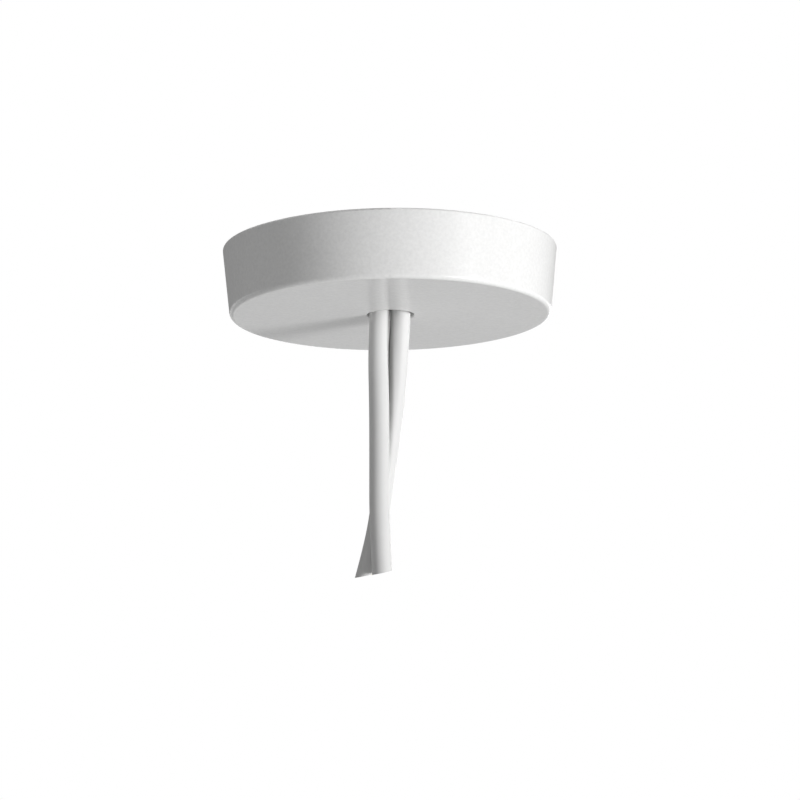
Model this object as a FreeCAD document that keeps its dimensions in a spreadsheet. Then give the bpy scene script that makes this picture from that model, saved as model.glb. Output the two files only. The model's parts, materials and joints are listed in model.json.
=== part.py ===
# Electrical ceiling rose: a push-fit cover cup on a ceiling base plate, with two hanging cords.
# Origin at the middle of the ceiling plane, +Z up, the cords hang along -Z. Millimetres.
import FreeCAD, Part
import math
import os
import re
import Sketcher
from FreeCAD import Placement, Rotation, Vector

# Driving dimensions, each in its own cell.
sizes = {
    # cover cup
    "rim_diameter": 120.0,
    "cover_depth": 24.5,
    "side_taper": 2.4,
    "cover_wall": 2.2,
    "cover_floor": 2.2,
    "rim_lip": 1.5,
    "rim_edge_radius": 0.6,
    "edge_radius": 1.6,
    "inner_radius": 1.2,
    "cord_hole_diameter": 16.8,
    "hole_edge_radius": 0.6,
    "collar_wall": 2.4,
    "collar_height": 1.5,
    "land_step": 0.25,
    "land_angle": 14.0,
    # base plate
    "plate_thickness": 2.6,
    "rib_width": 1.4,
    "rib_height": 2.0,
    "rib_inset": 1.2,
    "ceiling_screw_spacing": 80.0,
    "slot_length": 12.0,
    "slot_width": 4.6,
    "slot_boss_margin": 3.0,
    "slot_boss_height": 1.4,
    "supply_diameter": 20.0,
    "supply_offset": 25.0,
    "supply_collar_wall": 2.2,
    "supply_collar_height": 1.6,
    # spring clips
    "clip_width": 8.0,
    "clip_thickness": 0.5,
    "clip_foot_length": 8.2,
    "clip_reach": 3.4,
    "clip_crown_drop": 4.2,
    "clip_crown_height": 3.0,
    "clip_tail_drop": 4.5,
    "clip_tail_set": 2.4,
    "clip_bend_radius": 1.2,
    "clip_seat_height": 1.0,
    "clip_seat_margin": 1.0,
    # cords and cord clamp
    "cord_diameter": 7.2,
    "cord_spacing": 7.8,
    "sheath_stub": 0.6,
    "cord_lead": 3.6,
    "clamp_height": 5.2,
    "clamp_length": 38.0,
    "clamp_split": 0.8,
    "clamp_depth": 8.5,
    "pillar_width": 23.0,
    "pillar_front": 3.8,
    "pillar_wall": 1.5,
    "clamp_ear_depth": 4.4,
    "clamp_middle_depth": 6.2,
    "clamp_middle_width": 17.2,
    "clamp_shoulder": 2.0,
    "clamp_corner_radius": 1.4,
    "clamp_screw_spacing": 28.0,
    # terminal strip
    "first_pole": 16.0,
    "pole_pitch": 11.0,
    "pole_width": 6.4,
    "pole_length": 19.0,
    "pole_height": 8.0,
    "pole_edge_radius": 1.4,
    "turret_diameter": 7.0,
    "turret_height": 11.4,
    "turret_spacing": 11.2,
    "web_length": 9.0,
    "web_height": 4.0,
    "tube_drop": 4.2,
    "tube_diameter": 5.0,
    "tube_bore": 3.2,
    "tube_length": 16.0,
    "terminal_seat_height": 2.0,
    "terminal_seat_margin": 1.5,
    # cores
    "core_diameter": 2.2,
    "core_circle": 2.7,
    "conductor_diameter": 1.2,
    "conductor_overrun": 2.4,
    "earth_level": 2.6,
    "live_loop": 17.0,
    "earth_loop": 21.0,
    "neutral_loop": 25.5,
    "neutral_swing": 4.5,
    "first_bend_radius": 3.0,
    "loop_bend_share": 0.75,
    # screws
    "clamp_screw_diameter": 3.0,
    "clamp_screw_head": 5.6,
    "clamp_screw_tip": 1.0,
    "terminal_screw_diameter": 2.6,
    "terminal_screw_head": 3.4,
    "terminal_screw_length": 4.6,
    "housing_screw_diameter": 2.2,
    "housing_screw_head": 4.2,
    "clip_screw_diameter": 2.6,
    "clip_screw_head": 5.2,
    "screw_cover": 0.8,
    "head_height": 1.7,
    "head_edge_radius": 0.4,
    "driver_slot_width": 0.7,
    "driver_slot_depth": 0.8,
    # clearances
    "ceiling_gap": 0.5,
    "clamp_clearance": 0.9,
    "plate_clearance": 0.5,
    "running_clearance": 0.3,
    "seat_clearance": 0.05,
    "screw_clearance": 0.2,
}

# The clips by the way they face, in degrees round the axis, and the poles in their order along Y.
clip_turns = {"front": 270, "right": 30, "left": 150}
poles = ("live", "earth", "neutral")

# Sizes that follow from the driving ones.
layout_formulas = {
    "underside_z": "-(ceiling_gap + cover_depth)",
    "floor_z": "underside_z + cover_floor",
    "shoulder_z": "-(plate_thickness + running_clearance)",
    "underside_radius": "rim_diameter / 2 - side_taper",
    "wall_slope": "side_taper / cover_depth",
    "floor_radius": "underside_radius + wall_slope * cover_floor - cover_wall",
    "shoulder_radius": "rim_diameter / 2 + wall_slope * (shoulder_z + ceiling_gap) - cover_wall",
    "lip_radius": "rim_diameter / 2 - rim_lip",
    "plate_radius": "lip_radius - plate_clearance",
    "land_radius": "floor_radius - land_step",
    "crown_radius": "sqrt((land_radius - running_clearance)^2 - (clip_width / 2)^2)",
    "foot_outer": "crown_radius - clip_thickness / 2 - clip_reach",
    "foot_inner": "foot_outer - clip_foot_length",
    "clip_screw_radius": "(foot_inner + foot_outer) / 2",
    "clip_seat_z": "-(plate_thickness + clip_seat_height)",
    "rib_radius": "foot_inner - rib_inset",
    "clamp_bottom": "-(floor_z + collar_height) - clamp_clearance",
    "clamp_top": "clamp_bottom - clamp_height",
    "sheath_end": "clamp_top - sheath_stub",
    "clamp_mid_z": "-(clamp_top + clamp_height / 2)",
    "groove_radius": "cord_diameter / 2 + seat_clearance",
    "last_pole": f"first_pole + {len(poles) - 1} * pole_pitch",
    "terminal_seat_z": "-(plate_thickness + terminal_seat_height)",
    "tube_z": "terminal_seat_z - tube_drop",
    "strip_face": "pole_length / 2 + running_clearance",
}

doc = FreeCAD.newDocument("ceiling_rose")
sheet = doc.addObject("Spreadsheet::Sheet", "Sizes")
for row, (alias, number) in enumerate(sizes.items(), start=1):
    sheet.set(f"A{row}", alias)
    sheet.set(f"B{row}", str(number))
    sheet.setAlias(f"B{row}", alias)
layout = doc.addObject("App::FeaturePython", "Layout")
doc.recompute()


def bind(target, path, formula):
    # ties a property to the named sizes in a formula
    def full_name(word):
        if word[0] in sizes:
            return f"Sizes.{word[0]}"
        return f"Layout.{word[0]}" if word[0] in layout_formulas else word[0]

    target.setExpression(path, re.sub(r"[a-z_]+", full_name, formula))


def value(name):
    return float(sheet.get(name)) if name in sizes else getattr(layout, name)


for name, formula in layout_formulas.items():
    layout.addProperty("App::PropertyFloat", name)
    bind(layout, name, formula)
    doc.recompute()

pieces = []


def new_piece(kind, label):
    piece = doc.addObject(kind, label)
    piece.Label = label
    pieces.append(piece)
    return piece


def origin_feature(body, role):
    return next(feature for feature in body.Origin.OriginFeatures if feature.Role == role)


def new_sketch(body, name, role, offset="0"):
    # a drawing on one of the body's own origin planes, moved along the plane's normal
    drawing = body.newObject("Sketcher::SketchObject", f"{body.Name}_{name}")
    drawing.AttachmentSupport = (origin_feature(body, role), [""])
    drawing.MapMode = "FlatFace"
    bind(drawing, "AttachmentOffset.Base.z", offset)
    return drawing


def dimension(drawing, constraint, formula):
    index = drawing.addConstraint(constraint)
    drawing.renameConstraint(index, f"size{index}")
    bind(drawing, f"Constraints.size{index}", formula)


def pin(drawing, geometry, point, across, along):
    dimension(drawing, Sketcher.Constraint("DistanceX", -1, 1, geometry, point, 1.0), across)
    dimension(drawing, Sketcher.Constraint("DistanceY", -1, 1, geometry, point, 1.0), along)


def polygon(drawing, corners):
    turn = 2 * math.pi / len(corners)
    ring = [Vector(math.cos(turn * step), math.sin(turn * step), 0) for step in range(len(corners))]
    ring.append(ring[0])
    lines = [drawing.addGeometry(Part.LineSegment(here, there)) for here, there in zip(ring, ring[1:])]
    for number, (across, along) in enumerate(corners):
        drawing.addConstraint(Sketcher.Constraint("Coincident", lines[number - 1], 2, lines[number], 1))
        pin(drawing, lines[number], 1, across, along)


def rectangle(drawing, left, right, near, far):
    polygon(drawing, [(left, near), (right, near), (right, far), (left, far)])


def circle(drawing, across, along, radius):
    ring = drawing.addGeometry(Part.Circle(Vector(0, 0, 0), Vector(0, 0, 1), 1))
    pin(drawing, ring, 3, across, along)
    dimension(drawing, Sketcher.Constraint("Radius", ring, 1.0), radius)


def round_slot(drawing, across, length, width):
    # two half circles with straight sides, along the drawing's first axis
    ends = []
    for side, turn in ((-1, math.pi / 2), (1, -math.pi / 2)):
        round_end = Part.Circle(Vector(side, 0, 0), Vector(0, 0, 1), 1)
        ends.append(drawing.addGeometry(Part.ArcOfCircle(round_end, turn, turn + math.pi)))
    top = drawing.addGeometry(Part.LineSegment(Vector(-1, 1, 0), Vector(1, 1, 0)))
    bottom = drawing.addGeometry(Part.LineSegment(Vector(-1, -1, 0), Vector(1, -1, 0)))
    for end, end_point, line, line_point in (
        (ends[0], 1, top, 1), (ends[0], 2, bottom, 1), (ends[1], 2, top, 2), (ends[1], 1, bottom, 2),
    ):
        drawing.addConstraint(Sketcher.Constraint("Tangent", end, end_point, line, line_point))
    drawing.addConstraint(Sketcher.Constraint("Equal", ends[0], ends[1]))
    pin(drawing, ends[0], 3, f"{across} - ({length} - {width}) / 2", "0")
    pin(drawing, ends[1], 3, f"{across} + ({length} - {width}) / 2", "0")
    dimension(drawing, Sketcher.Constraint("Radius", ends[0], 1.0), f"({width}) / 2")


def add_feature(body, kind, drawing, length=None, reverse=False, symmetric=False):
    # a pad or pocket; a pocket with no length goes right through
    before = body.Shape.Volume if body.Tip else 0
    feature = body.newObject(f"PartDesign::{kind}", f"{drawing.Name}_{kind}")
    feature.Profile = drawing
    if length is None:
        feature.Type = "ThroughAll"
    else:
        bind(feature, "Length", length)
    feature.Reversed = reverse
    feature.SideType = "Symmetric" if symmetric else "One side"
    doc.recompute()
    if (body.Shape.Volume < before) != (kind == "Pocket"):
        raise RuntimeError(f"{feature.Name} leaves its body's volume as it was")
    return feature


def revolve(body, drawing, angle="360"):
    feature = body.newObject("PartDesign::Revolution", f"{drawing.Name}_turned")
    feature.Profile = drawing
    feature.ReferenceAxis = (drawing, ["V_Axis"])
    bind(feature, "Angle", angle)
    feature.Midplane = True
    doc.recompute()
    return feature


def spread_round(body, originals):
    # repeats features round the rose's axis, once for each spring clip
    pattern = body.newObject("PartDesign::PolarPattern", f"{originals[0].Name}_round")
    pattern.Originals = originals
    pattern.Axis = (origin_feature(body, "Z_Axis"), [""])
    pattern.Angle = 360
    pattern.Occurrences = len(clip_turns)
    body.Tip = pattern
    doc.recompute()


def spread_rows(body, originals, count):
    # repeats features along Y at the pitch of the terminal poles
    pattern = body.newObject("PartDesign::LinearPattern", f"{originals[0].Name}_rows")
    pattern.Originals = originals
    pattern.Direction = (origin_feature(body, "Y_Axis"), [""])
    pattern.Mode = "Spacing"
    bind(pattern, "Offset", "pole_pitch")
    pattern.Occurrences = count
    body.Tip = pattern
    doc.recompute()


def round_edges(body, name, radius, wanted):
    base = body.Tip
    feature = body.newObject("PartDesign::Fillet", f"{body.Name}_{name}")
    numbered = enumerate(base.Shape.Edges, start=1)
    feature.Base = (base, [f"Edge{number}" for number, edge in numbered if wanted(edge)])
    bind(feature, "Radius", radius)
    doc.recompute()


def same(one, other):
    tolerance = 1e-3
    return abs(one - other) < tolerance


def is_ring(edge, radius, height):
    # a full circle about the vertical, of this radius at this height
    if not isinstance(edge.Curve, Part.Circle) or not edge.isClosed():
        return False
    return same(edge.Curve.Radius, radius) and same(edge.Curve.Center.z, height)


def runs_along(edge, axis):
    return isinstance(edge.Curve, Part.Line) and same(abs(edge.Curve.Direction.dot(axis)), 1)


def rounded_path(points, radii):
    # straight runs joined by tangent arcs, one radius for each inner point
    edges = []
    start = points[0]
    for before, corner, after, radius in zip(points, points[1:], points[2:], radii):
        back = (before - corner).normalize()
        ahead = (after - corner).normalize()
        half_turn = (math.pi - back.getAngle(ahead)) / 2
        reach = radius * math.tan(half_turn)
        middle = corner + (back + ahead).normalize() * (radius / math.cos(half_turn) - radius)
        edges.append(Part.LineSegment(start, corner + back * reach).toShape())
        edges.append(Part.Arc(corner + back * reach, middle, corner + ahead * reach).toShape())
        start = corner + ahead * reach
    edges.append(Part.LineSegment(start, points[-1]).toShape())
    return Part.Wire(edges)


def widest_radii(points):
    # the largest bends that the neighbouring runs of a cord leave room for
    run_share = 0.45
    radii = []
    for before, corner, after in zip(points, points[1:], points[2:]):
        half_turn = (math.pi - (before - corner).getAngle(after - corner)) / 2
        shorter = min((before - corner).Length, (after - corner).Length)
        radii.append(run_share * shorter / math.tan(half_turn))
    return radii


def tube(points, radii, diameter):
    path = rounded_path(points, radii)
    section = Part.Wire(Part.Circle(points[0], points[1] - points[0], diameter / 2).toShape())
    solid = path.makePipeShell([section], True, False)
    expected = math.pi * diameter ** 2 / 4 * path.Length
    if abs(solid.Volume / expected - 1) > 0.01:
        raise RuntimeError("a swept tube differs from its section times its length")
    return solid


# The cover cup: a turned shell with a rebate at the rim, a collar round the hole and lands for the clips.
cover = new_piece("PartDesign::Body", "cover_cup")
cover_section = new_sketch(cover, "section", "XZ_Plane")
polygon(cover_section, [
    ("rim_diameter / 2", "-ceiling_gap"),
    ("underside_radius", "underside_z"),
    ("cord_hole_diameter / 2", "underside_z"),
    ("cord_hole_diameter / 2", "floor_z + collar_height"),
    ("cord_hole_diameter / 2 + collar_wall", "floor_z + collar_height"),
    ("cord_hole_diameter / 2 + collar_wall", "floor_z"),
    ("floor_radius", "floor_z"),
    ("shoulder_radius", "shoulder_z"),
    ("lip_radius", "shoulder_z"),
    ("lip_radius", "-ceiling_gap"),
])
revolve(cover, cover_section)
underside_z = value("underside_z")
floor_z = value("floor_z")
hole_edge = value("cord_hole_diameter") / 2
hole_rims = (underside_z, floor_z + value("collar_height"))
underside_edge = value("underside_radius")
floor_edge = value("floor_radius")
round_edges(cover, "outer_edge", "edge_radius", lambda edge: is_ring(edge, underside_edge, underside_z))
round_edges(cover, "inner_edge", "inner_radius", lambda edge: is_ring(edge, floor_edge, floor_z))
rim_edge = value("rim_diameter") / 2
rim_z = -value("ceiling_gap")
round_edges(cover, "rim_edge", "rim_edge_radius", lambda edge: is_ring(edge, rim_edge, rim_z))
round_edges(cover, "hole_edge", "hole_edge_radius", lambda edge: any(
    is_ring(edge, hole_edge, height) for height in hole_rims
))
land_section = new_sketch(cover, "land", "YZ_Plane")
polygon(land_section, [
    ("-land_radius", "floor_z - cover_floor / 2"),
    ("-(floor_radius + cover_wall / 2)", "floor_z - cover_floor / 2"),
    ("-(shoulder_radius + cover_wall / 2)", "shoulder_z"),
    ("-land_radius", "shoulder_z"),
])
spread_round(cover, [revolve(cover, land_section, "land_angle")])

# The base plate: a disc with its rib, bosses and seats, and half of the cord clamp on a cored pillar.
plate = new_piece("PartDesign::Body", "base_plate")


def plate_pad(name, draw, height, offset="0"):
    drawing = new_sketch(plate, name, "XY_Plane", offset)
    draw(drawing)
    return add_feature(plate, "Pad", drawing, height, reverse=True)


def plate_cut(name, draw, offset="0", depth=None, reverse=False):
    drawing = new_sketch(plate, name, "XY_Plane", offset)
    draw(drawing)
    return add_feature(plate, "Pocket", drawing, depth, reverse)


def draw_rib(drawing):
    circle(drawing, "0", "0", "rib_radius")
    circle(drawing, "0", "0", "rib_radius - rib_width")


def draw_slots(drawing, margin):
    length = f"slot_length + {margin}"
    width = f"slot_width + {margin}"
    for side in ("-", ""):
        round_slot(drawing, f"{side}ceiling_screw_spacing / 2", length, width)


def draw_pair(drawing, spacing, along, radius):
    for side in ("-", ""):
        circle(drawing, f"{side}{spacing} / 2", along, radius)


def draw_terminal_seat(drawing):
    reach = "(pole_length / 2 + terminal_seat_margin)"
    margin = "turret_diameter / 2 + terminal_seat_margin"
    rectangle(drawing, f"-{reach}", reach, f"first_pole - ({margin})", f"last_pole + {margin}")


def draw_clip_seat(drawing):
    half = "(clip_width / 2 + clip_seat_margin)"
    near = "-(foot_outer - clip_seat_margin)"
    far = "-(foot_inner - clip_seat_margin)"
    rectangle(drawing, f"-{half}", half, near, far)


plate_pad("disc", lambda drawing: circle(drawing, "0", "0", "plate_radius"), "plate_thickness")
plate_pad("rib", draw_rib, "plate_thickness + rib_height")
plate_pad(
    "slot_boss",
    lambda drawing: draw_slots(drawing, "2 * slot_boss_margin"),
    "plate_thickness + slot_boss_height",
)
supply_centre = ("0", "-supply_offset")
plate_pad(
    "supply_collar",
    lambda drawing: circle(drawing, *supply_centre, "supply_diameter / 2 + supply_collar_wall"),
    "plate_thickness + supply_collar_height",
)
plate_pad("terminal_seat", draw_terminal_seat, "plate_thickness + terminal_seat_height")
spread_round(plate, [plate_pad("clip_seat", draw_clip_seat, "plate_thickness + clip_seat_height")])
pillar_sides = ("-pillar_width / 2", "pillar_width / 2", "pillar_front", "clamp_depth")
jaw_sides = ("-clamp_length / 2", "clamp_length / 2", "clamp_split / 2", "clamp_depth")
plate_pad("pillar", lambda drawing: rectangle(drawing, *pillar_sides), "clamp_bottom")
plate_pad("clamp_jaw", lambda drawing: rectangle(drawing, *jaw_sides), "clamp_height", "-clamp_top")
core_reach = "(pillar_width / 2 - pillar_wall)"
core_sides = (f"-{core_reach}", core_reach, "pillar_front + pillar_wall", "clamp_depth - pillar_wall")
plate_cut("pillar_core", lambda drawing: rectangle(drawing, *core_sides), depth="clamp_top - pillar_wall")
plate_cut("slots", lambda drawing: draw_slots(drawing, "0"))
plate_cut("supply_hole", lambda drawing: circle(drawing, *supply_centre, "supply_diameter / 2"))
plate_cut("grooves", lambda drawing: draw_pair(drawing, "cord_spacing", "0", "groove_radius"), "-clamp_top")
clamp_pilots = new_sketch(plate, "clamp_pilots", "XZ_Plane")
draw_pair(clamp_pilots, "clamp_screw_spacing", "clamp_mid_z", "clamp_screw_diameter / 2 + seat_clearance")
add_feature(plate, "Pocket", clamp_pilots)
housing_screw_centre = ("0", "first_pole + pole_pitch / 2")
housing_pilot = plate_cut(
    "housing_pilot",
    lambda drawing: circle(drawing, *housing_screw_centre, "housing_screw_diameter / 2 + seat_clearance"),
    "terminal_seat_z",
    "-terminal_seat_z - screw_cover",
    reverse=True,
)
spread_rows(plate, [housing_pilot], len(poles) - 1)
clip_pilot = plate_cut(
    "clip_pilot",
    lambda drawing: circle(drawing, "0", "-clip_screw_radius", "clip_screw_diameter / 2 + seat_clearance"),
    "clip_seat_z",
    "-clip_seat_z - screw_cover",
    reverse=True,
)
spread_round(plate, [clip_pilot])

# The spring clips: bent strips with a flat foot, a crown that bears on the cover's land, and a lead-in tail.
crown_line = value("crown_radius") - value("clip_thickness") / 2
strip_z = value("clip_seat_z") - value("clip_thickness") / 2
crown_top = strip_z - value("clip_crown_drop")
crown_end = crown_top - value("clip_crown_height")
clip_path = [
    Vector(value("foot_inner"), 0, strip_z),
    Vector(value("foot_outer"), 0, strip_z),
    Vector(crown_line, 0, crown_top),
    Vector(crown_line, 0, crown_end),
    Vector(crown_line - value("clip_tail_set"), 0, crown_end - value("clip_tail_drop")),
]
strip_half = Vector(0, value("clip_width") / 2, value("clip_thickness") / 2)
strip_section = Part.makePolygon([
    clip_path[0] + Vector(0, side * strip_half.y, face * strip_half.z)
    for side, face in ((-1, -1), (1, -1), (1, 1), (-1, 1), (-1, -1))
])
strip = rounded_path(clip_path, [value("clip_bend_radius")] * 3).makePipeShell([strip_section], True, False)
strip_hole = Part.makeCylinder(
    value("clip_screw_diameter") / 2 + value("screw_clearance"),
    4 * value("clip_thickness"),
    Vector(value("clip_screw_radius"), 0, strip_z - 2 * value("clip_thickness")),
)
for clip_name, clip_turn in clip_turns.items():
    clip = new_piece("Part::Feature", f"spring_clip_{clip_name}")
    clip.Shape = strip.cut(strip_hole)
    clip.Placement = Placement(Vector(0, 0, 0), Rotation(Vector(0, 0, 1), clip_turn))


def slotted_screws(body, role, centres, seat, outward, head, diameter, length):
    # outward tells if the plane's normal points from the seat to the head
    shank_discs = new_sketch(body, "shank", role, seat)
    head_discs = new_sketch(body, "head", role, seat)
    slots = new_sketch(body, "slot", role, f"{seat} {'+' if outward else '-'} head_height")
    for across, along in centres:
        circle(shank_discs, across, along, f"{diameter} / 2")
        circle(head_discs, across, along, f"{head} / 2")
        rectangle(
            slots,
            f"{across} - {head}", f"{across} + {head}",
            f"{along} - driver_slot_width / 2", f"{along} + driver_slot_width / 2",
        )
    return [
        add_feature(body, "Pad", head_discs, "head_height", reverse=not outward),
        add_feature(body, "Pad", shank_discs, length, reverse=outward),
        add_feature(body, "Pocket", slots, "driver_slot_depth", reverse=not outward),
    ]


def round_heads(body, head, tip_direction):
    # softens the outer edge of each screw head, on the side away from the tip
    lowest = min(vertex.Point.dot(tip_direction) for vertex in body.Shape.Vertexes)
    round_edges(body, "head_edges", "head_edge_radius", lambda edge: (
        isinstance(edge.Curve, Part.Circle)
        and same(edge.Curve.Radius, value(head) / 2)
        and same(edge.Curve.Center.dot(tip_direction), lowest)
    ))


clip_screws = new_piece("PartDesign::Body", "clip_screws")
spread_round(clip_screws, slotted_screws(
    clip_screws, "XY_Plane", [("0", "-clip_screw_radius")], "clip_seat_z - clip_thickness", False,
    "clip_screw_head", "clip_screw_diameter", "clip_thickness - clip_seat_z - screw_cover - seat_clearance",
))
round_heads(clip_screws, "clip_screw_head", Vector(0, 0, 1))

# The loose half of the cord clamp, thicker in the middle where the cords lie in its grooves.
clamp_bar = new_piece("PartDesign::Body", "cord_clamp_bar")
bar_outline = new_sketch(clamp_bar, "outline", "XY_Plane", "-clamp_top")
bar_half = [
    ("clamp_length / 2", "-clamp_split / 2"),
    ("clamp_length / 2", "-clamp_ear_depth"),
    ("clamp_middle_width / 2 + clamp_shoulder", "-clamp_ear_depth"),
    ("clamp_middle_width / 2", "-clamp_middle_depth"),
]
polygon(bar_outline, bar_half + [(f"-({across})", along) for across, along in reversed(bar_half)])
add_feature(clamp_bar, "Pad", bar_outline, "clamp_height", reverse=True)
round_edges(clamp_bar, "corners", "clamp_corner_radius", lambda edge: (
    runs_along(edge, Vector(0, 0, 1)) and edge.Vertexes[0].Y < -value("clamp_split")
))
bar_grooves = new_sketch(clamp_bar, "grooves", "XY_Plane", "-clamp_top")
draw_pair(bar_grooves, "cord_spacing", "0", "groove_radius")
add_feature(clamp_bar, "Pocket", bar_grooves)
bar_holes = new_sketch(clamp_bar, "holes", "XZ_Plane")
draw_pair(bar_holes, "clamp_screw_spacing", "clamp_mid_z", "clamp_screw_diameter / 2 + screw_clearance")
add_feature(clamp_bar, "Pocket", bar_holes, symmetric=True)

clamp_screws = new_piece("PartDesign::Body", "cord_clamp_screws")
slotted_screws(
    clamp_screws, "XZ_Plane", [(f"{side}clamp_screw_spacing / 2", "clamp_mid_z") for side in ("-", "")],
    "clamp_ear_depth", True,
    "clamp_screw_head", "clamp_screw_diameter", "clamp_ear_depth + clamp_depth - clamp_screw_tip",
)
round_heads(clamp_screws, "clamp_screw_head", Vector(0, 1, 0))

# The terminal strip: three poles with two screw turrets each, joined by low webs.
housing = new_piece("PartDesign::Body", "terminal_housing")
web = new_sketch(housing, "web", "XY_Plane", "terminal_seat_z")
rectangle(web, "-web_length / 2", "web_length / 2", "first_pole", "last_pole")
add_feature(housing, "Pad", web, "web_height", reverse=True)
pole = new_sketch(housing, "pole", "XY_Plane", "terminal_seat_z")
rectangle(
    pole, "-pole_length / 2", "pole_length / 2", "first_pole - pole_width / 2", "first_pole + pole_width / 2",
)
turrets = new_sketch(housing, "turrets", "XY_Plane", "terminal_seat_z")
draw_pair(turrets, "turret_spacing", "first_pole", "turret_diameter / 2")
spread_rows(housing, [add_feature(housing, "Pad", pole, "pole_height", reverse=True)], len(poles))
pole_bottom = value("terminal_seat_z") - value("pole_height")
round_edges(housing, "pole_edges", "pole_edge_radius", lambda edge: (
    runs_along(edge, Vector(1, 0, 0)) and same(edge.Vertexes[0].Z, pole_bottom)
))
spread_rows(housing, [add_feature(housing, "Pad", turrets, "turret_height", reverse=True)], len(poles))
tube_bed = new_sketch(housing, "tube_bed", "YZ_Plane")
circle(tube_bed, "first_pole", "tube_z", "tube_diameter / 2 + seat_clearance")
spread_rows(housing, [add_feature(housing, "Pocket", tube_bed, symmetric=True)], len(poles))
wells = new_sketch(housing, "wells", "XY_Plane", "tube_z")
draw_pair(wells, "turret_spacing", "first_pole", "terminal_screw_head / 2 + screw_clearance")
spread_rows(housing, [add_feature(housing, "Pocket", wells)], len(poles))
web_hole = new_sketch(housing, "web_hole", "XY_Plane", "terminal_seat_z")
circle(web_hole, *housing_screw_centre, "housing_screw_diameter / 2 + screw_clearance")
spread_rows(housing, [add_feature(housing, "Pocket", web_hole)], len(poles) - 1)

for number, pole_name in enumerate(poles):
    terminal = new_piece("PartDesign::Body", f"terminal_tube_{pole_name}")
    ring = new_sketch(terminal, "ring", "YZ_Plane")
    circle(ring, "0", "0", "tube_diameter / 2")
    circle(ring, "0", "0", "tube_bore / 2")
    add_feature(terminal, "Pad", ring, "tube_length", symmetric=True)
    taps = new_sketch(terminal, "taps", "XY_Plane")
    draw_pair(taps, "turret_spacing", "0", "terminal_screw_diameter / 2 + seat_clearance")
    add_feature(terminal, "Pocket", taps)
    bind(terminal, "Placement.Base.y", f"first_pole + {number} * pole_pitch")
    bind(terminal, "Placement.Base.z", "tube_z")

terminal_screws = new_piece("PartDesign::Body", "terminal_screws")
screw_seat = "tube_z - conductor_diameter / 2 - seat_clearance - terminal_screw_length"
spread_rows(terminal_screws, slotted_screws(
    terminal_screws, "XY_Plane", [(f"{side}turret_spacing / 2", "first_pole") for side in ("-", "")],
    screw_seat, False,
    "terminal_screw_head", "terminal_screw_diameter", "terminal_screw_length",
), len(poles))
round_heads(terminal_screws, "terminal_screw_head", Vector(0, 0, 1))

housing_screws = new_piece("PartDesign::Body", "housing_screws")
spread_rows(housing_screws, slotted_screws(
    housing_screws, "XY_Plane", [housing_screw_centre], "terminal_seat_z - web_height", False,
    "housing_screw_head", "housing_screw_diameter",
    "web_height - terminal_seat_z - screw_cover - seat_clearance",
), len(poles) - 1)
round_heads(housing_screws, "housing_screw_head", Vector(0, 0, 1))

# The cords: side by side through the clamp and the cover's hole, then the right one crosses behind the left.
half_spacing = value("cord_spacing") / 2
cord_top = -value("sheath_end")
lead_end = -(value("clamp_bottom") + value("cord_lead"))
cord_routes = {
    "cord_left": [
        Vector(-half_spacing, 0, cord_top), Vector(-half_spacing, 0, lead_end), Vector(-4.6, -0.45, -40),
        Vector(-4.35, -1.15, -58), Vector(-4.5, -1.9, -80), Vector(-4.75, -2.7, -100),
        Vector(-3.9, -3.6, -120),
    ],
    "cord_right": [
        Vector(half_spacing, 0, cord_top), Vector(half_spacing, 0, lead_end), Vector(2.8, 1.4, -37),
        Vector(1.4, 3.8, -54), Vector(-1.15, 5.1, -72), Vector(-4.2, 5.2, -90), Vector(-6.6, 4.5, -106),
        Vector(-9.8, 3.4, -120),
    ],
}
for cord_name, route in cord_routes.items():
    cord = new_piece("Part::Feature", cord_name)
    bends = widest_radii(route)
    cord.Shape = tube(route, bends, value("cord_diameter"))
    print(cord_name, "bend radii", [round(bend, 1) for bend in bends])

# The cores: three out of each sheath, in nested loops round the clamp's pillar into the ends of the strip.
core_offset = value("core_circle") / 2
tube_level = value("tube_z")
core_starts = {"live": 90, "earth": -30, "neutral": 210}
core_levels = {"live": tube_level, "earth": tube_level + value("earth_level"), "neutral": tube_level}
loop_front = {"live": core_offset, "earth": core_offset / 2, "neutral": -value("neutral_swing")}
conductors = []
for cord_side, mirror in (("left", -1), ("right", 1)):
    for number, pole_name in enumerate(poles):
        start_turn = math.radians(core_starts[pole_name])
        start_x = mirror * (half_spacing - core_offset * math.cos(start_turn))
        start_y = core_offset * math.sin(start_turn)
        loop_x = mirror * value(f"{pole_name}_loop")
        pole_y = value("first_pole") + number * value("pole_pitch")
        level = core_levels[pole_name]
        core_route = [
            Vector(start_x, start_y, cord_top + value("seat_clearance")),
            Vector(start_x, start_y, level),
            Vector(loop_x, loop_front[pole_name], level),
            Vector(loop_x, pole_y, tube_level),
            Vector(mirror * value("strip_face"), pole_y, tube_level),
        ]
        core = new_piece("Part::Feature", f"{cord_side}_{pole_name}_core")
        loop_bend = value("loop_bend_share") * (value(f"{pole_name}_loop") - value("strip_face"))
        core_bends = [value("first_bend_radius"), loop_bend, loop_bend]
        core.Shape = tube(core_route, core_bends, value("core_diameter"))
        conductor = doc.addObject("Part::Cylinder", f"{cord_side}_{pole_name}_conductor")
        bind(conductor, "Radius", "conductor_diameter / 2")
        bind(conductor, "Height", "strip_face - turret_spacing / 2 + conductor_overrun")
        conductor.Placement = Placement(core_route[-1], Rotation(Vector(0, 0, 1), Vector(-mirror, 0, 0)))
        conductors.append(conductor)

conductor_ends = new_piece("Part::Compound", "conductor_ends")
conductor_ends.Links = conductors

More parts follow.
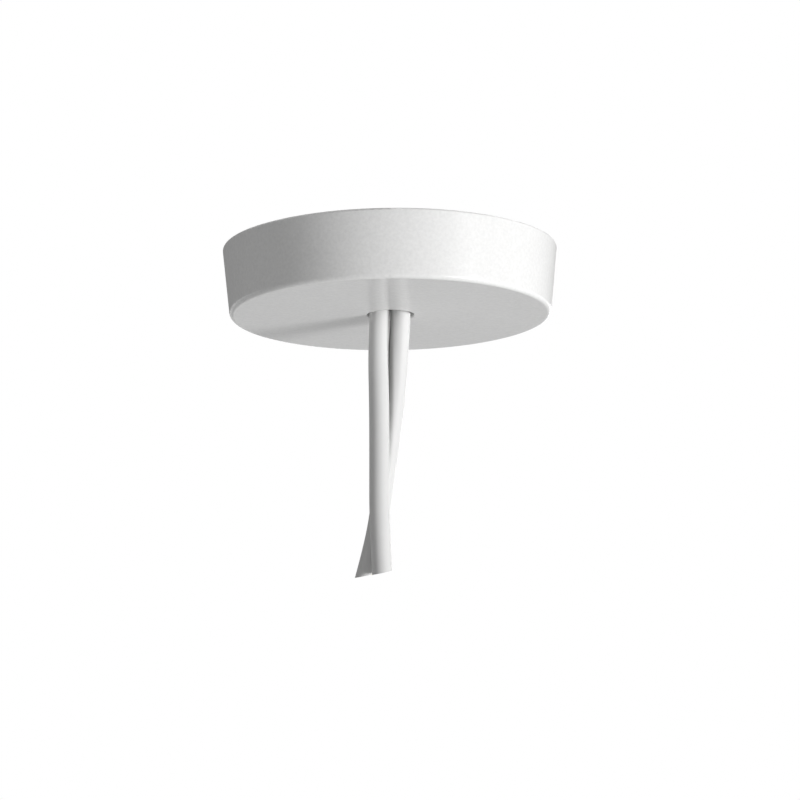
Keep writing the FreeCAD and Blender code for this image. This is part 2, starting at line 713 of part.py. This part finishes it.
doc.recompute()
for item in doc.Objects:
    if "Invalid" in item.State or "Error" in item.State:
        raise RuntimeError(f"{item.Name} did not compute")
for piece in pieces:
    if piece.Shape.isNull() or not piece.Shape.isValid():
        raise RuntimeError(f"{piece.Label} has no valid shape")
os.makedirs("parts", exist_ok=True)
for piece in pieces:
    piece.Shape.exportStep(f"parts/{piece.Label}.step")
    print(piece.Label, len(piece.Shape.Solids), round(piece.Shape.Volume, 1))
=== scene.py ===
import json
import math

import bmesh
import bpy
from mathutils import Matrix, Vector


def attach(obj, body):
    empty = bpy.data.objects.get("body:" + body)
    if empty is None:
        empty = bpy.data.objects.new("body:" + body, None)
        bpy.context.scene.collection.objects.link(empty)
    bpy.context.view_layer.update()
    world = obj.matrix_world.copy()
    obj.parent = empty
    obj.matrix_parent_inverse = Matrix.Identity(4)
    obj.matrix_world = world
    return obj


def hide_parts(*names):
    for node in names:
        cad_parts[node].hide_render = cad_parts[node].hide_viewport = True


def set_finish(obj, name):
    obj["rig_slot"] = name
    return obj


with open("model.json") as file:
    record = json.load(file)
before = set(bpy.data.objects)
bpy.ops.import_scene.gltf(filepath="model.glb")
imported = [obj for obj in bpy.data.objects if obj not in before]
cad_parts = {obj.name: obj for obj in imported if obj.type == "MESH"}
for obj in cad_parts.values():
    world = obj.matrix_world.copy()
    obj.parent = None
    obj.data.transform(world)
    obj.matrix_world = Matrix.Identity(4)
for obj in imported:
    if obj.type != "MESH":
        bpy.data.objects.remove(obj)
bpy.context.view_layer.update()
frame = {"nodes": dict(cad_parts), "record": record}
nodes = frame["nodes"]
scene = bpy.context.scene
scene.view_settings.view_transform = "Standard"

# Camera: below the rose, a long lens looking up at it

cameraView = {
    "place": (0.0, -1.934, -0.4772),
    "lookAt": (0.0031, 0.0099, -0.0539),
    "rollDegrees": 0.64,
    "lens": 249.4,
}


def setCamera(view):
    place = Vector(view["place"])
    lens = bpy.data.cameras.new("roseCamera")
    lens.lens = view["lens"]
    camera = bpy.data.objects.new("roseCamera", lens)
    scene.collection.objects.link(camera)
    aim = (Vector(view["lookAt"]) - place).to_track_quat("-Z", "Y").to_matrix().to_4x4()
    roll = Matrix.Rotation(math.radians(-view["rollDegrees"]), 4, "Z")
    camera.matrix_world = Matrix.Translation(place) @ aim @ roll
    scene.camera = camera


setCamera(cameraView)
print("camera set")

# Cords: sheaths swept close to the CAD tubes, cut off together at the lower end

cordShape = {
    "diameter": 0.0072,
    "sheathWall": 0.0008,
    "sides": 48,
    "lineOrder": 3,  # order of the spline that follows the route points
    "lineSteps": 20,  # points of the line between two route points
    "sharpDegrees": 40,  # edges sharper than this are not shaded smooth
    "cutHeight": -0.1178,  # where the cut crosses the rose's axis
    "cutRise": (0.2, 0.22),  # how the cut climbs along X and Y
    "cutClear": 0.3,  # the swept line stops this many diameters above the cut
    "recess": 0.0012,  # depth of the filler behind the cut
    "exitHeight": -0.025,  # the cup's underside
    "routes": {
        "left": [
            (-0.0039, 0, -0.0146), (-0.00372, 0, -0.024), (-0.0046, -0.00045, -0.04),
            (-0.00435, -0.00115, -0.058), (-0.0045, -0.0019, -0.08), (-0.00475, -0.0027, -0.1),
            (-0.0039, -0.0036, -0.12),
        ],
        "right": [
            (0.0039, 0, -0.0146), (0.00372, 0, -0.024), (0.0028, 0.0014, -0.037),
            (0.0014, 0.0038, -0.054), (-0.00095, 0.0051, -0.072), (-0.0037, 0.0052, -0.09),
            (-0.0061, 0.0045, -0.106), (-0.01, 0.0034, -0.12),
        ],
    },
}
# painted shade: where the sheath colour is darkened along the crease between the two cords, in
# place of their shadow
creaseShadeShape = {
    "fullShadeGap": 0.0009,  # the painted shade is full where the other cord is nearer than this
    "noShadeGap": 0.0024,  # and there is none where it is further off than this
    "fadeStart": -0.06,  # height at which the painted shade starts to fade
    "fadeEnd": -0.088,  # and at which it is gone
}
coreShape = {
    "diameter": 0.0022,
    "circle": 0.0027,  # circle through the three core centres
    "sides": 28,
    "rootShare": 0.9,  # how deep in the recess the stubs start
    "strandDiameter": 0.00042,
    "strandsRound": 6,  # strands round the middle one
    "strandSides": 12,
    "strandStandOut": 0.00006,
    "turns": {"live": 90, "earth": -30, "neutral": 210},
    "slots": {"live": "core_brown", "earth": "core_green_yellow", "neutral": "core_blue"},
}


def newPiece(name, data):
    piece = bpy.data.objects.new(name, data)
    scene.collection.objects.link(piece)
    return piece


def meshFrom(name, build):
    shape = bmesh.new()
    build(shape)
    mesh = bpy.data.meshes.new(name)
    shape.to_mesh(mesh)
    shape.free()
    return mesh


def splineLine(name, route):
    # points along a smooth spline that follows the route
    curve = bpy.data.curves.new(name, "CURVE")
    curve.dimensions = "3D"
    curve.resolution_u = cordShape["lineSteps"]
    spline = curve.splines.new("NURBS")
    spline.points.add(len(route) - 1)
    for point, place in zip(spline.points, route):
        point.co = (*place, 1)
    spline.order_u = cordShape["lineOrder"]
    spline.use_endpoint_u = True
    carrier = newPiece(name, curve)
    mesh = bpy.data.meshes.new_from_object(carrier)
    line = [vertex.co.copy() for vertex in mesh.vertices]
    bpy.data.objects.remove(carrier)
    bpy.data.curves.remove(curve)
    bpy.data.meshes.remove(mesh)
    return line


def cutOffset(point):
    # height of a point above the slanted cut
    riseX, riseY = cordShape["cutRise"]
    return point.z - cordShape["cutHeight"] - riseX * point.x - riseY * point.y


def onCut(point, along):
    # slides a point along the cord's direction to the cut
    step = 0.01
    drop = cutOffset(point) - cutOffset(point + along * step)
    return point + along * step * cutOffset(point) / drop


def trimAtCut(line):
    # keeps the line to a little above the cut, then ends it on the cut
    clear = cordShape["diameter"] * cordShape["cutClear"]
    kept = [point for point in line if cutOffset(point) > clear]
    along = (kept[-1] - kept[-2]).normalized()
    return kept + [onCut(kept[-1], along)], along


def crossAxes(line):
    # two directions across the line at each point, carried along without twist
    axes = []
    side = Vector((1, 0, 0))
    for number in range(len(line)):
        before = line[max(number - 1, 0)]
        after = line[min(number + 1, len(line) - 1)]
        along = (after - before).normalized()
        side = (side - along * side.dot(along)).normalized()
        axes.append((side, along.cross(side)))
    return axes


def ringAt(centre, axes, radius, count):
    side, other = axes
    turns = [2 * math.pi * number / count for number in range(count)]
    return [
        centre + side * radius * math.cos(turn) + other * radius * math.sin(turn)
        for turn in turns
    ]


def skin(shape, rings):
    # joins rings of points into a closed tube, with U round it and V along it in metres
    uvLayer = shape.loops.layers.uv.verify()
    rows = [[shape.verts.new(point) for point in ring] for ring in rings]
    count = len(rows[0])
    start = 0.0
    for number in range(len(rows) - 1):
        here, there = rows[number], rows[number + 1]
        steps = [(b - a).length for a, b in zip(rings[number], rings[number + 1])]
        end = start + sum(steps) / count
        for place in range(count):
            after = (place + 1) % count
            face = shape.faces.new((here[place], here[after], there[after], there[place]))
            face.smooth = True
            corners = ((place, start), (place + 1, start), (place + 1, end), (place, end))
            for loop, (turn, down) in zip(face.loops, corners):
                loop[uvLayer].uv = (turn / count, down)
        start = end
    shape.faces.new(list(reversed(rows[0])))
    shape.faces.new(rows[-1])


def newTube(name, build):
    mesh = meshFrom(name, build)
    mesh.shade_smooth()
    mesh.set_sharp_from_angle(angle=math.radians(cordShape["sharpDegrees"]))
    return newPiece(name, mesh)


def makeSheath(sideName, route):
    radius = cordShape["diameter"] / 2
    bore = radius - cordShape["sheathWall"]
    sides = cordShape["sides"]
    path, along = trimAtCut(splineLine(f"{sideName}Route", route))
    axes = crossAxes(path)
    rings = [ringAt(point, across, radius, sides) for point, across in zip(path, axes)]
    rings[-1] = [onCut(point, along) for point in rings[-2]]
    lip = [onCut(point, along) for point in ringAt(path[-2], axes[-2], bore, sides)]
    filler = [point - along * cordShape["recess"] for point in lip]
    piece = newTube(f"cord_{sideName}_sheath", lambda shape: skin(shape, rings + [lip, filler]))
    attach(piece, "base")
    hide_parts(f"cord_{sideName}")
    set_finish(piece, "cord_white")
    return piece, path, axes[-1], along


def makeCoreEnds(sideName, path, axes, along, mirror):
    # the three cores and their strands, as the cut shows them
    side, other = axes
    root = path[-1] - along * cordShape["recess"] * coreShape["rootShare"]
    strandTurn = 360.0 / coreShape["strandsRound"]
    strandPlaces = [(0.0, 0.0)]
    strandPlaces += [(1.0, strandTurn * number) for number in range(coreShape["strandsRound"])]

    def spot(turnDegrees, reach, centre):
        turn = math.radians(turnDegrees)
        return centre + side * reach * math.cos(turn) * mirror + other * reach * math.sin(turn)

    def addStub(shape, centre, diameter, sides, standOut=0):
        ring = ringAt(centre, axes, diameter / 2, sides)
        skin(shape, [ring, [onCut(point, along) + along * standOut for point in ring]])

    def addCore(shape, centre):
        addStub(shape, centre, coreShape["diameter"], coreShape["sides"])

    def addStrands(shape):
        diameter, sides = coreShape["strandDiameter"], coreShape["strandSides"]
        for centre in centres.values():
            for reach, turn in strandPlaces:
                place = spot(turn, reach * diameter, centre)
                addStub(shape, place, diameter, sides, coreShape["strandStandOut"])

    centres = {}
    for pole, turn in coreShape["turns"].items():
        centres[pole] = spot(turn, coreShape["circle"] / 2, root)
    ends = []
    for pole, centre in centres.items():
        stub = newTube(f"{sideName}_{pole}_core_cut", lambda shape: addCore(shape, centre))
        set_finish(stub, coreShape["slots"][pole])
        ends.append(stub)
    strands = newTube(f"{sideName}_strands_cut", addStrands)
    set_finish(strands, "conductor_copper")
    ends.append(strands)
    for end in ends:
        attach(end, "base")
    return ends


def easeBetween(value, low, high):
    # 0 below the low value, 1 above the high one, a soft step between them
    share = min(max((value - low) / (high - low), 0.0), 1.0)
    return share * share * (3 - 2 * share)


def markCreaseShade(piece, otherPath):
    # painted shade: how far each point of a sheath lies in the crease between the two cords, which
    # sets how much it is darkened to stand in for shadow
    marks = piece.data.attributes.new("crease", "FLOAT", "POINT")
    radius = cordShape["diameter"] / 2
    for vertex, mark in zip(piece.data.vertices, marks.data):
        gap = min((vertex.co - point).length for point in otherPath) - radius
        closeness = 1 - easeBetween(gap, creaseShadeShape["fullShadeGap"], creaseShadeShape["noShadeGap"])
        fade = easeBetween(vertex.co.z, creaseShadeShape["fadeEnd"], creaseShadeShape["fadeStart"])
        mark.value = closeness * fade


sheaths = {}
paths = {}
coreEnds = {}
for sideName, route in cordShape["routes"].items():
    mirror = -1 if sideName == "left" else 1
    sheath, path, endAxes, endAlong = makeSheath(sideName, route)
    ends = makeCoreEnds(sideName, path, endAxes, endAlong, mirror)
    sheaths[sideName] = sheath
    paths[sideName] = path
    coreEnds[sideName] = ends

# painted shade on both sheaths where they face each other
markCreaseShade(sheaths["left"], paths["right"])
markCreaseShade(sheaths["right"], paths["left"])

# Shader groups that several finishes share

mouldedGrain = {
    "toneScale": 45.0,
    "toneDetail": 3.0,
    "glossScale": 160.0,
    "glossDetail": 4.0,
    "pebbleDetail": 2.0,
}
metalGrain = {
    "lineDetail": 3.0,
    "patchScale": 260.0,
    "patchDetail": 4.0,
    "glossChange": 0.12,
}
cableGrain = {
    "lineDetail": 3.0,
    "unevenScale": 220.0,
    "unevenDetail": 3.0,
    "unevenDepth": 0.6,  # beside the die lines
    "glossChange": 0.06,
}


def newGroup(name, inputs):
    group = bpy.data.node_groups.new(name, "ShaderNodeTree")
    for label, kind, start in inputs:
        socket = group.interface.new_socket(
            label, in_out="INPUT", socket_type=f"NodeSocket{kind}",
        )
        socket.default_value = start
    for label, kind in (("Colour", "Color"), ("Roughness", "Float"), ("Height", "Float")):
        group.interface.new_socket(label, in_out="OUTPUT", socket_type=f"NodeSocket{kind}")
    return group, group.nodes.new("NodeGroupInput").outputs


def closeGroup(group, colour, gloss, height):
    made = group.nodes.new("NodeGroupOutput").inputs
    group.links.new(colour, made["Colour"])
    group.links.new(gloss, made["Roughness"])
    group.links.new(height, made["Height"])
    return group


def addNode(tree, kind, inputs=None, **settings):
    # inputs maps socket names or numbers to a value or to a socket of another node
    node = tree.nodes.new(f"ShaderNode{kind}")
    for key, setting in settings.items():
        setattr(node, key, setting)
    for socket, source in (inputs or {}).items():
        if isinstance(source, bpy.types.NodeSocket):
            tree.links.new(source, node.inputs[socket])
        else:
            node.inputs[socket].default_value = source
    return node


def mathNode(tree, operation, *values):
    return addNode(tree, "Math", dict(enumerate(values)), operation=operation).outputs[0]


def mixColours(tree, share, first, second):
    # the numbers are the colour sockets of Blender's Mix node
    inputs = {0: share, 6: first, 7: second}
    return addNode(tree, "Mix", inputs, data_type="RGBA").outputs[2]


def wander(tree, noise, middle, amount):
    # a noise value turned into a value that wanders either side of the middle
    swing = mathNode(tree, "MULTIPLY_ADD", noise, 2.0, -1.0)
    return mathNode(tree, "MULTIPLY_ADD", swing, amount, middle)


def noiseAt(tree, place, scale, detail):
    node = addNode(tree, "TexNoise", {"Vector": place, "Scale": scale, "Detail": detail})
    return node.outputs["Fac"]


def linesAt(tree, place, spread, scale, detail):
    # noise drawn out into lines
    stretched = addNode(tree, "VectorMath", {0: place, 1: spread}, operation="MULTIPLY")
    return noiseAt(tree, stretched.outputs[0], scale, detail)


def shaded(tree, colour, tone):
    return addNode(tree, "HueSaturation", {"Value": tone, "Color": colour}).outputs[0]


def makeMouldedSkin(grain):
    # moulded plastic: slow changes of tone and gloss, a fine pebbled and mottled skin
    group, given = newGroup("mouldedSkin", [
        ("Colour", "Color", (0.8, 0.8, 0.8, 1)), ("Tone Change", "Float", 0.02),
        ("Roughness", "Float", 0.4), ("Gloss Change", "Float", 0.05),
        ("Pebble Scale", "Float", 900.0), ("Pebble Depth", "Float", 1.0),
        ("Mottle", "Float", 0.0),
    ])
    place = addNode(group, "TexCoord").outputs["Object"]
    pebble = noiseAt(group, place, given["Pebble Scale"], grain["pebbleDetail"])
    clouds = noiseAt(group, place, grain["toneScale"], grain["toneDetail"])
    slowTone = wander(group, clouds, 1.0, given["Tone Change"])
    tone = wander(group, pebble, slowTone, given["Mottle"])
    sheen = noiseAt(group, place, grain["glossScale"], grain["glossDetail"])
    gloss = wander(group, sheen, given["Roughness"], given["Gloss Change"])
    height = mathNode(group, "MULTIPLY", pebble, given["Pebble Depth"])
    return closeGroup(group, shaded(group, given["Colour"], tone), gloss, height)


def makeDrawnMetal(grain):
    # rolled, drawn or turned metal: lines along one direction, tarnish in soft patches
    group, given = newGroup("drawnMetal", [
        ("Colour", "Color", (0.6, 0.6, 0.6, 1)), ("Tarnish", "Color", (0.4, 0.4, 0.4, 1)),
        ("Tarnish Amount", "Float", 0.3), ("Roughness", "Float", 0.3),
        ("Line Spread", "Vector", (1, 1, 1)), ("Line Scale", "Float", 2000.0),
    ])
    place = addNode(group, "TexCoord").outputs["Object"]
    lines = linesAt(group, place, given["Line Spread"], given["Line Scale"], grain["lineDetail"])
    patches = noiseAt(group, place, grain["patchScale"], grain["patchDetail"])
    share = mathNode(group, "MULTIPLY", patches, given["Tarnish Amount"])
    colour = mixColours(group, share, given["Colour"], given["Tarnish"])
    gloss = wander(group, lines, given["Roughness"], grain["glossChange"])
    return closeGroup(group, colour, gloss, lines)


def makeExtrudedSkin(grain):
    # extruded cable plastic: long faint die lines and a little unevenness
    group, given = newGroup("extrudedSkin", [
        ("Colour", "Color", (0.8, 0.8, 0.8, 1)), ("Tone Change", "Float", 0.03),
        ("Roughness", "Float", 0.4), ("Place", "Vector", (0, 0, 0)),
        ("Line Spread", "Vector", (1, 1, 1)), ("Line Scale", "Float", 30.0),
    ])
    lines = linesAt(
        group, given["Place"], given["Line Spread"], given["Line Scale"], grain["lineDetail"],
    )
    place = addNode(group, "TexCoord").outputs["Object"]
    uneven = noiseAt(group, place, grain["unevenScale"], grain["unevenDetail"])
    tone = wander(group, uneven, 1.0, given["Tone Change"])
    gloss = wander(group, uneven, given["Roughness"], grain["glossChange"])
    height = mathNode(group, "MULTIPLY_ADD", uneven, grain["unevenDepth"], lines)
    return closeGroup(group, shaded(group, given["Colour"], tone), gloss, height)


mouldedSkin = makeMouldedSkin(mouldedGrain)
drawnMetal = makeDrawnMetal(metalGrain)
extrudedSkin = makeExtrudedSkin(cableGrain)
print("shader groups made")

# Finishes, one for each material slot of the record

plasticLooks = {
    "cover_white": {
        "look": {
            "Colour": (0.86, 0.86, 0.855, 1), "Tone Change": 0.012, "Mottle": 0.085,
            "Roughness": 0.25, "Gloss Change": 0.04, "Pebble Scale": 900.0, "Pebble Depth": 1.0,
        },
        "bump": {"strength": 0.8, "distance": 0.00005},
        "shader": {"IOR": 1.46},
    },
    "base_white": {
        "look": {
            "Colour": (0.82, 0.82, 0.8, 1), "Tone Change": 0.02, "Mottle": 0.05,
            "Roughness": 0.5, "Gloss Change": 0.06, "Pebble Scale": 1600.0, "Pebble Depth": 1.0,
        },
        "bump": {"strength": 0.5, "distance": 0.00005},
        "shader": {"IOR": 1.46},
    },
    "terminal_plastic": {
        "look": {
            "Colour": (0.78, 0.765, 0.7, 1), "Tone Change": 0.035, "Mottle": 0.04,
            "Roughness": 0.42, "Gloss Change": 0.05, "Pebble Scale": 1300.0, "Pebble Depth": 1.0,
        },
        "bump": {"strength": 0.3, "distance": 0.00004},
        "shader": {
            "IOR": 1.5, "Subsurface Weight": 0.2, "Subsurface Radius": (0.002, 0.0018, 0.0012),
        },
    },
}
metalShader = {"Metallic": 1.0}
metalLooks = {
    "spring_steel": {
        "look": {
            "Colour": (0.58, 0.58, 0.59, 1), "Tarnish": (0.34, 0.33, 0.33, 1),
            "Tarnish Amount": 0.5, "Roughness": 0.28,
            "Line Spread": (0.06, 0.06, 1.0), "Line Scale": 3000.0,
        },
        "bump": {"strength": 0.2, "distance": 0.00003},
    },
    "plated_steel": {
        "look": {
            "Colour": (0.66, 0.67, 0.69, 1), "Tarnish": (0.62, 0.58, 0.46, 1),
            "Tarnish Amount": 0.35, "Roughness": 0.3,
            "Line Spread": (1.0, 1.0, 0.3), "Line Scale": 2500.0,
        },
        "bump": {"strength": 0.15, "distance": 0.00002},
    },
    "terminal_brass": {
        "look": {
            "Colour": (0.76, 0.58, 0.27, 1), "Tarnish": (0.48, 0.33, 0.14, 1),
            "Tarnish Amount": 0.45, "Roughness": 0.26,
            "Line Spread": (1.0, 0.05, 0.05), "Line Scale": 3200.0,
        },
        "bump": {"strength": 0.2, "distance": 0.00003},
    },
    "conductor_copper": {
        "look": {
            "Colour": (0.78, 0.42, 0.25, 1), "Tarnish": (0.42, 0.2, 0.12, 1),
            "Tarnish Amount": 0.4, "Roughness": 0.32,
            "Line Spread": (0.2, 1.0, 1.0), "Line Scale": 2600.0,
        },
        "bump": {"strength": 0.3, "distance": 0.00004},
    },
}
cableLooks = {
    "cord_white": {
        "look": {
            "Colour": (0.73, 0.73, 0.725, 1), "Tone Change": 0.02, "Roughness": 0.45,
            "Line Spread": (1.0, 0.8, 1.0), "Line Scale": 26.0,
        },
        "place": "UV",
        "bump": {"strength": 0.25, "distance": 0.00006},
        "shader": {"IOR": 1.5, "Specular IOR Level": 0.25},
        # painted shade: the darker sheath colour mixed in along the crease between the cords
        "creaseShadeColour": (0.42, 0.42, 0.415, 1),
    },
    "core_brown": {
        "look": {
            "Colour": (0.2, 0.085, 0.04, 1), "Tone Change": 0.1, "Roughness": 0.36,
            "Line Spread": (1.0, 1.0, 1.0), "Line Scale": 900.0,
        },
        "place": "Object",
        "bump": {"strength": 0.15, "distance": 0.00003},
        "shader": {"IOR": 1.5},
    },
    "core_green_yellow": {
        "look": {
            "Colour": (0.07, 0.3, 0.05, 1), "Tone Change": 0.06, "Roughness": 0.36,
            "Line Spread": (1.0, 1.0, 1.0), "Line Scale": 900.0,
        },
        "place": "Object",
        "bump": {"strength": 0.15, "distance": 0.00003},
        "shader": {"IOR": 1.5},
        "stripe": {"colour": (0.85, 0.68, 0.03, 1), "facing": (0.35, -0.55, -0.75), "edge": 0.12},
    },
    "core_blue": {
        "look": {
            "Colour": (0.03, 0.13, 0.42, 1), "Tone Change": 0.08, "Roughness": 0.36,
            "Line Spread": (1.0, 1.0, 1.0), "Line Scale": 900.0,
        },
        "place": "Object",
        "bump": {"strength": 0.15, "distance": 0.00003},
        "shader": {"IOR": 1.5},
    },
}


def newFinish(name, group, made, shaderValues):
    # a material whose colour, roughness and bump come from a group set to these values
    material = bpy.data.materials.new(name)
    material.use_nodes = True
    tree = material.node_tree
    shader = tree.nodes["Principled BSDF"]
    for socket, setting in shaderValues.items():
        shader.inputs[socket].default_value = setting
    effect = tree.nodes.new("ShaderNodeGroup")
    effect.node_tree = group
    for socket, setting in made["look"].items():
        effect.inputs[socket].default_value = setting
    bump = made["bump"]
    raised = addNode(tree, "Bump", {
        "Strength": bump["strength"], "Distance": bump["distance"],
        "Height": effect.outputs["Height"],
    })
    tree.links.new(effect.outputs["Colour"], shader.inputs["Base Color"])
    tree.links.new(effect.outputs["Roughness"], shader.inputs["Roughness"])
    tree.links.new(raised.outputs["Normal"], shader.inputs["Normal"])
    return material, tree, effect


def blendInto(tree, effect, share, second):
    # mixes a second colour into the one that the group is given
    first = tuple(effect.inputs["Colour"].default_value)
    tree.links.new(mixColours(tree, share, first, second), effect.inputs["Colour"])


def addStripe(tree, effect, stripe):
    # the second colour of the earth core, along the side that faces one way
    normal = addNode(tree, "TexCoord").outputs["Normal"]
    facing = addNode(tree, "VectorMath", {0: normal, 1: stripe["facing"]}, operation="DOT_PRODUCT")
    share = addNode(tree, "MapRange", {
        "Value": facing.outputs["Value"], "From Min": -stripe["edge"], "From Max": stripe["edge"],
    })
    blendInto(tree, effect, share.outputs[0], stripe["colour"])


def addCreaseShade(tree, effect, creaseShadeColour):
    # painted shade: a darker sheath colour in the crease where the two cords lie together,
    # standing in for their shadow
    crease = addNode(tree, "Attribute", attribute_name="crease").outputs["Fac"]
    blendInto(tree, effect, crease, creaseShadeColour)


finishes = {}
for slotName, made in plasticLooks.items():
    finishes[slotName], _, _ = newFinish(slotName, mouldedSkin, made, made["shader"])
for slotName, made in metalLooks.items():
    finishes[slotName], _, _ = newFinish(slotName, drawnMetal, made, metalShader)
for slotName, made in cableLooks.items():
    finishes[slotName], tree, effect = newFinish(slotName, extrudedSkin, made, made["shader"])
    tree.links.new(addNode(tree, "TexCoord").outputs[made["place"]], effect.inputs["Place"])
    if "stripe" in made:
        addStripe(tree, effect, made["stripe"])
    if "creaseShadeColour" in made:
        addCreaseShade(tree, effect, made["creaseShadeColour"])
print("finishes made:", len(finishes))

# Each CAD node and each new piece gets the finish of its slot

for part in frame["record"]["subparts"]:
    for materialSlot in nodes[part["node"]].material_slots:
        materialSlot.material = finishes[part["material_slot"]]
for piece in [*sheaths.values(), *coreEnds["left"], *coreEnds["right"]]:
    piece.data.materials.append(finishes[piece["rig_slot"]])
print("finishes placed")

# Stage: a pale floor far below, a soft panel where a ceiling would be, a white surround,
# a key lamp at the right, a fill behind and a narrow lamp on the plate's ceiling face

white = (1, 1, 1, 1)
black = (0, 0, 0, 1)
stageLook = {
    "discSides": 96,
    "floorHeight": -1.9,
    "floorRadius": 14.0,
    "floorColour": (0.82, 0.82, 0.82, 1),
    "floorRoughness": 0.8,
    "floorGlow": 0.58,  # added to what the camera sees of the floor
    "floorShine": 0.18,  # added to what a reflection shows of it
    "panelHeight": 0.25,
    "panelRadius": 3.0,
    "panelStrength": 0.22,
    "ambient": 0.38,  # light of the surround
    "backdrop": 1.0,  # its brightness to the camera and in reflections
}
lamps = {
    "key": {
        "place": (1.78, -1.17, -0.54), "target": (0, 0, -0.03),
        "size": 0.85, "power": 42.0, "spreadDegrees": 180,
    },
    "backFill": {
        "place": (0.5, 1.9, 0.36), "target": (0, 0, -0.05),
        "size": 0.6, "power": 20.0, "spreadDegrees": 180,
    },
    "overPlate": {
        "place": (0, 0, 0.03), "target": (0, 0, 0),
        "size": 0.12, "power": 0.02, "spreadDegrees": 6,
    },
}


def rayKinds(tree):
    # 1 for what the camera sees, and 1 for what a mirror or a glass shows
    path = addNode(tree, "LightPath").outputs
    mirrored = mathNode(tree, "MAXIMUM", path["Is Glossy Ray"], path["Is Transmission Ray"])
    return path["Is Camera Ray"], mirrored


def makeDisc(name, height, radius, sides):
    def disc(shape):
        bmesh.ops.create_circle(shape, cap_ends=True, segments=sides, radius=radius)

    piece = newPiece(name, meshFrom(name, disc))
    piece.location.z = height
    material = bpy.data.materials.new(name)
    material.use_nodes = True
    piece.data.materials.append(material)
    return piece, material.node_tree


def makeFloor(look):
    _, tree = makeDisc("floor", look["floorHeight"], look["floorRadius"], look["discSides"])
    shader = tree.nodes["Principled BSDF"].inputs
    shader["Base Color"].default_value = look["floorColour"]
    shader["Roughness"].default_value = look["floorRoughness"]
    shader["Emission Color"].default_value = white
    seen, mirrored = rayKinds(tree)
    shine = mathNode(tree, "MULTIPLY", mirrored, look["floorShine"])
    glow = mathNode(tree, "MULTIPLY_ADD", seen, look["floorGlow"], shine)
    tree.links.new(glow, shader["Emission Strength"])


def makePanel(look):
    panel, tree = makeDisc(
        "softPanel", look["panelHeight"], look["panelRadius"], look["discSides"],
    )
    shader = tree.nodes["Principled BSDF"].inputs
    shader["Base Color"].default_value = black
    shader["Specular IOR Level"].default_value = 0
    shader["Emission Color"].default_value = white
    shader["Emission Strength"].default_value = look["panelStrength"]
    panel.visible_camera = False


def makeWorld(look):
    world = bpy.data.worlds.new("whiteStudio")
    world.use_nodes = True
    tree = world.node_tree
    soft = tree.nodes["Background"]
    soft.inputs["Color"].default_value = white
    soft.inputs["Strength"].default_value = look["ambient"]
    plain = addNode(tree, "Background", {"Color": white, "Strength": look["backdrop"]})
    shown = mathNode(tree, "MAXIMUM", *rayKinds(tree))
    blend = addNode(tree, "MixShader", {0: shown, 1: soft.outputs[0], 2: plain.outputs[0]})
    tree.links.new(blend.outputs[0], tree.nodes["World Output"].inputs["Surface"])
    scene.world = world


def makeLamp(name, look):
    lamp = bpy.data.lights.new(name, "AREA")
    lamp.shape = "DISK"
    lamp.size = look["size"]
    lamp.energy = look["power"]
    lamp.spread = math.radians(look["spreadDegrees"])
    carrier = newPiece(name, lamp)
    carrier.location = look["place"]
    carrier.rotation_mode = "QUATERNION"
    aim = Vector(look["target"]) - Vector(look["place"])
    carrier.rotation_quaternion = aim.to_track_quat("-Z", "Y")
    carrier.visible_camera = False


makeFloor(stageLook)
makePanel(stageLook)
makeWorld(stageLook)
for lampName, lampLook in lamps.items():
    makeLamp(lampName, lampLook)
print("stage and lamps set")
